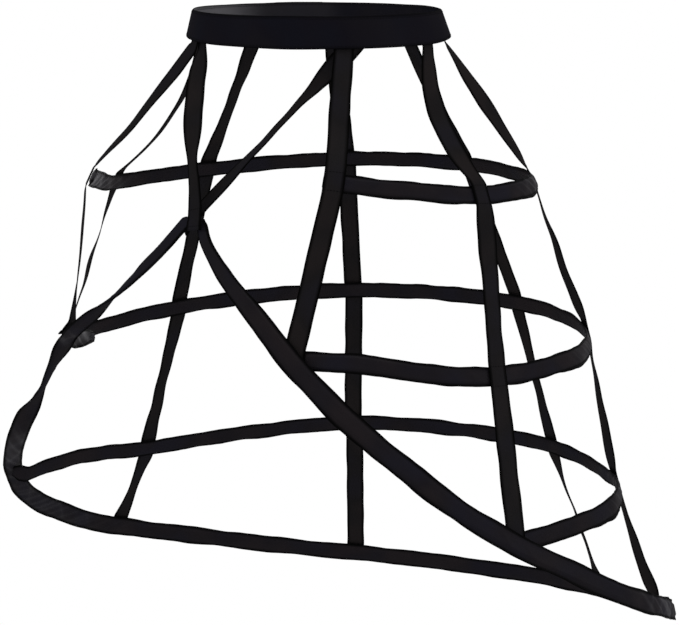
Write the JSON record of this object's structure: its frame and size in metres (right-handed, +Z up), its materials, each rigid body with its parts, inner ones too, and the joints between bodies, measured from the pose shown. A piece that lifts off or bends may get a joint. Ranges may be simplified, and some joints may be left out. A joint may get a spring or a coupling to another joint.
{
  "type": "crinoline cage",
  "caption": "Black open-front crinoline cage: fabric-cased hoops and a slanted hem hoop that rises to a point in front, hung on tapes from a waistband.",
  "frame": {"origin": "middle of the waistband, on the axis of the waist opening", "axes": "+Z up along the waist, -Y towards the side seen in the picture, +X to its right; the open front faces between -X and -Y"},
  "size_m": [0.6951, 0.6337, 0.6677],
  "materials": {
    "band_cloth": "black satin-woven waistband",
    "casing_cloth": "black woven casing with a low sheen",
    "tape_cloth": "black ribbed tape",
    "fastener_strip": "black hook and loop strip",
    "bone": "natural synthetic boning",
    "bone_tip": "moulded cap"
  },
  "bodies": {
    "root": {"waistband": "band_cloth", "waist_facing": "tape_cloth", "closure_flap": "band_cloth", "hook_strip": "fastener_strip", "loop_strip": "fastener_strip", "upper_casing": "casing_cloth", "middle_casing": "casing_cloth", "lower_casing": "casing_cloth", "hem_casing": "casing_cloth", "upper_bone": "bone", "middle_bone": "bone", "lower_bone": "bone", "hem_bone": "bone", "upper_bone_tips": "bone_tip", "middle_bone_tips": "bone_tip", "lower_bone_tips": "bone_tip", "hem_bone_tips": "bone_tip", "hip_tape": "tape_cloth", "cross_tape": "tape_cloth", "left_end_tape": "tape_cloth", "left_tape": "tape_cloth", "back_left_tape": "tape_cloth", "back_tape": "tape_cloth", "back_right_tape": "tape_cloth", "right_tape": "tape_cloth", "front_right_tape": "tape_cloth", "front_tape": "tape_cloth"}
  },
  "joints": []
}
